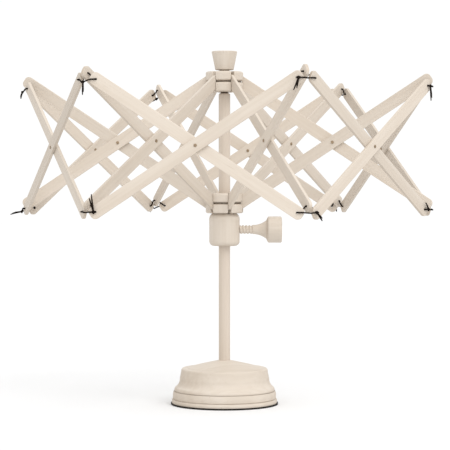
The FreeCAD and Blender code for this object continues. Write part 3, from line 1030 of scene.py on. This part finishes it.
    def _tail(self, knot: Vector, look: Knot, length: float, spread: float) -> Shell:
        """One loose end with a thinned tip.

        Args:
            knot: where it leaves.
            look: how the tie's ends hang.
            length: its length.
            spread: turn from the long end, degrees.

        Returns:
            Vertices and faces.
        """
        turn = math.radians(look.turn + spread)
        lean = math.radians(look.lean + 0.4 * spread)
        sideways = Vector((0.0, math.cos(turn), math.sin(turn)))
        heading = sideways * math.cos(lean) + Vector(X_AXIS) * math.sin(lean)
        bow = heading.cross(Vector(X_AXIS).cross(heading)).normalized()
        if bow.length < 0.5:
            bow = Vector(Y_AXIS)
        swerve = bow * (look.curl * length)
        points = [
            knot,
            knot + heading * (0.3 * length) + swerve * 0.25,
            knot + heading * (0.65 * length) + swerve * 0.75,
            knot + heading * length + swerve * 0.6,
        ]
        line = smooth_line(points, 14)
        share = np.interp(np.linspace(0.0, 1.0, len(line)), [0.0, 0.75, 1.0], [1.05, 1.0, 0.6])
        return joined(laid_strands(line, self.cord_r, self.lay, share, turn))

    def tie(self, arm: int, top: bool, material: bpy.types.Material) -> bpy.types.Object:
        """Build one tie at a vertex.

        Args:
            arm: arm number, from 1.
            top: whether it is the top vertex.
            material: the cord's finish.

        Returns:
            The tie, riding on its own body.
        """
        level = "top" if top else "low"
        look = (self.top if top else self.low)[arm - 1]
        sag = self.sag if abs(look.slip) < self.tip_swing else self.taut_sag
        strand, inside, corner = self._corners(arm, sag)
        lift = (self.knot_r - self.cord_r) / math.cos(HALF_ARM_STEP)
        knot = self._place(strand, look.slip) + Vector(X_AXIS) * lift
        if not top:
            strand = [Vector((p.x, -p.y, p.z)) for p in strand]
            inside = [Vector((p.x, -p.y, p.z)) for p in inside]
            knot = Vector((knot.x, -knot.y, knot.z))
        parts = laid_strands(self._loop(strand, inside), self.cord_r, self.lay)
        parts.append(self._knot(knot))
        parts.append(self._tail(knot, look, look.length, 0.0))
        parts.append(self._tail(knot, look, look.length * self.second, self.spread))
        points, faces = joined(parts)
        side = np.array(hinge_axis(f"{level}_tie_hinge_{arm}"))
        out = np.cross(side, Z_AXIS)
        height = pivot(f"{level}_tie_hinge_{arm}").z
        placed = (
            np.outer(points[:, 0] + corner, out)
            + np.outer(points[:, 1], side)
            + np.outer(points[:, 2] + height, np.array(Z_AXIS))
        )
        made = mesh_piece(f"{level}_cord_{arm}", placed, faces, material)
        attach(made, f"{level}_tie_{arm}")
        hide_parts(f"{level}_lashing_{arm}")
        return made

    def build(self) -> None:
        """Build all twelve ties."""
        cord = WaxedCord().make("waxed_cord")
        for arm in range(1, ARMS + 1):
            self.tie(arm, True, cord)
            self.tie(arm, False, cord)


# ---------------------------------------------------------------------- studio


@dataclass
class Studio:
    """Plain pale floor, soft light and the camera."""

    distance: float = 2.5527
    height: float = 0.3185
    aside: float = 0.00077
    pitch: float = 1.547
    lens: float = 146.8
    floor_half: float = 9.0
    sky: float = 1.02

    def floor(self) -> None:
        """Lay the floor."""
        shader = Shader("floor_paper")
        where = shader.place()
        tooth = shader.noise(where, 300.0, 2.0)
        tone = shader.noise(where, 0.8, 2.0)
        shader.set(
            Base_Color=shader.mix(tone * 0.2, (0.78, 0.78, 0.78), (0.765, 0.765, 0.77)),
            Roughness=0.9 + tooth * 0.05,
            Specular_IOR_Level=0.1,
        )
        half = self.floor_half
        points = np.array([(-half, -half, 0.0), (half, -half, 0.0), (half, half, 0.0), (-half, half, 0.0)])
        mesh_piece("floor", points, [(0, 1, 2, 3)], shader.material)

    def sun(self, name: str, turn: float, rise: float, power: float, soft: float) -> None:
        """Hang one broad, far lamp.

        Args:
            name: its name.
            turn: degrees to the viewer's right of straight ahead.
            rise: degrees above the table.
            power: its strength.
            soft: how wide it looks, in degrees.
        """
        data = bpy.data.lights.new(name, "SUN")
        data.energy = power
        data.angle = math.radians(soft)
        level = math.cos(math.radians(rise))
        towards = Vector(
            (
                math.sin(math.radians(turn)) * level,
                -math.cos(math.radians(turn)) * level,
                math.sin(math.radians(rise)),
            )
        )
        lamp = bpy.data.objects.new(name, data)
        lamp.location = towards * 3.0
        lamp.rotation_euler = towards.to_track_quat("Z", "Y").to_euler()
        bpy.context.scene.collection.objects.link(lamp)

    def light(self) -> None:
        """Set the sky and the lamps."""
        world = bpy.data.worlds.new("studio_sky")
        world.use_nodes = True
        sky = world.node_tree.nodes["Background"]
        sky.inputs["Color"].default_value = (1.0, 1.0, 1.0, 1.0)
        sky.inputs["Strength"].default_value = self.sky
        bpy.context.scene.world = world
        self.sun("key", 40.0, 50.0, 1.22, 40.0)
        self.sun("front_fill", -6.0, 30.0, 0.42, 60.0)
        bpy.context.scene.view_settings.view_transform = "Standard"

    def camera(self) -> None:
        """Place the camera."""
        data = bpy.data.cameras.new("camera")
        data.lens = self.lens
        data.sensor_width = 36.0
        data.clip_start = 0.05
        data.clip_end = 60.0
        camera = bpy.data.objects.new("camera", data)
        camera.location = (self.aside, -self.distance, self.height)
        camera.rotation_euler = (math.radians(90.0 - self.pitch), 0.0, 0.0)
        bpy.context.scene.collection.objects.link(camera)
        bpy.context.scene.camera = camera

    def build(self) -> None:
        """Build the studio."""
        self.floor()
        self.light()
        self.camera()


def main() -> None:
    """Build and dress every sub-assembly."""
    logging.basicConfig(level=logging.INFO, format="%(message)s")
    Stand().dress()
    Hubs().dress()
    Lattice().dress()
    Clamp().dress()
    Lashings().build()
    Studio().build()


if __name__ == "__main__":
    main()
